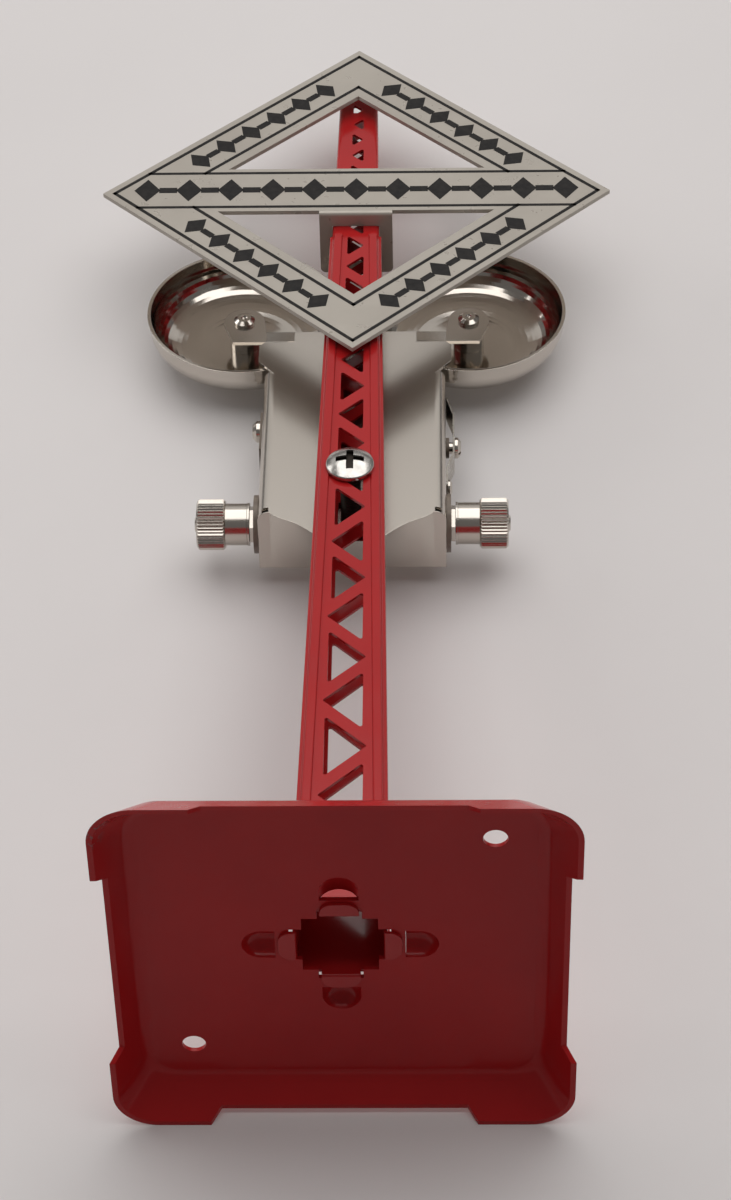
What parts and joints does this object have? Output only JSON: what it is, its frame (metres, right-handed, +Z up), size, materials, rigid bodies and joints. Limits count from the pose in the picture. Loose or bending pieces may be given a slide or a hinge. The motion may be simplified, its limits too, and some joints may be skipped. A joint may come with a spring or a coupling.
{
  "type": "model railway crossing bell signal",
  "caption": "Model railway crossing signal: tray base, square lattice mast, diamond sign and an electric bell with gongs and screw terminals.",
  "frame": {"origin": "middle of the plane that the base's four feet stand on", "axes": "+Z up the mast, -Y the front that the sign faces, +X to the right seen from the front"},
  "size_m": [0.092, 0.0698, 0.225],
  "materials": {
    "red_enamel": "glossy enamel",
    "sign_enamel": "satin off-white with black lines",
    "nickel_plate": "bright nickel, lightly worn",
    "soft_iron": "plain",
    "spring_strip": "rolled",
    "brass": "satin",
    "copper_winding": "enamelled copper wire",
    "bobbin_fibre": "fibre",
    "insulator": "matte grey fibre",
    "wire_sleeve": "cloth sleeve"
  },
  "bodies": {
    "stand": {"base_plate": "red_enamel", "mast": "red_enamel", "sign_plate": "sign_enamel", "bell_frame": "nickel_plate", "case_back": "nickel_plate", "left_gong": "nickel_plate", "right_gong": "nickel_plate", "left_gong_post": "nickel_plate", "right_gong_post": "nickel_plate", "terminal_hex_nuts": "nickel_plate", "left_terminal_stud": "nickel_plate", "right_terminal_stud": "nickel_plate", "left_rivet": "nickel_plate", "contact_rivet": "nickel_plate", "mast_screw": "nickel_plate", "mast_screw_nut": "nickel_plate", "magnet_frame": "soft_iron", "upper_core": "soft_iron", "lower_core": "soft_iron", "armature_pin": "soft_iron", "contact_strip": "spring_strip", "return_spring": "spring_strip", "upper_winding": "copper_winding", "lower_winding": "copper_winding", "upper_bobbin": "bobbin_fibre", "lower_bobbin": "bobbin_fibre", "terminal_insulators": "insulator", "contact_bush": "insulator", "left_insulator": "insulator", "lead_wires": "wire_sleeve"},
    "clapper": {"armature": "soft_iron", "contact_leaf": "spring_strip", "clapper_rod": "spring_strip", "clapper_ball": "brass"},
    "right_washer": {"right_loose_washer": "nickel_plate"},
    "left_washer": {"left_loose_washer": "nickel_plate"},
    "right_nut": {"right_thumb_nut": "nickel_plate"},
    "left_nut": {"left_thumb_nut": "nickel_plate"},
    "contact_screw": {"contact_screw": "nickel_plate"}
  },
  "joints": [
    {"name": "clapper_swing", "type": "hinge", "parent": "stand", "child": "clapper", "pos_m": [0.0087, 0.01199, 0.1124], "axis": [0, 1, 0], "range_deg": [-0.9, 0.9], "stiffness_Nm_per_rad": 0.05},
    {"name": "contact_screw_turn", "type": "hinge", "parent": "stand", "child": "contact_screw", "pos_m": [0.018, 0.01199, 0.1309], "axis": [1, 0, 0], "range_deg": [-90, 90]},
    {"name": "right_washer_slide", "type": "slide", "parent": "stand", "child": "right_washer", "axis": [1, 0, 0], "range_m": [0, 0.0012]},
    {"name": "right_nut_turn", "type": "hinge", "parent": "right_washer", "child": "right_nut", "pos_m": [0.018, 0.01249, 0.1118], "axis": [1, 0, 0], "range_deg": [0, 720.1]},
    {"name": "left_washer_slide", "type": "slide", "parent": "stand", "child": "left_washer", "axis": [-1, 0, 0], "range_m": [0, 0.0012]},
    {"name": "left_nut_turn", "type": "hinge", "parent": "left_washer", "child": "left_nut", "pos_m": [-0.018, 0.01249, 0.1118], "axis": [-1, 0, 0], "range_deg": [0, 720.1]}
  ],
  "couplings": [
    {"joint": "right_nut_turn", "follows": "right_washer_slide", "rad_per_m": 10472},
    {"joint": "left_nut_turn", "follows": "left_washer_slide", "rad_per_m": 10472}
  ]
}
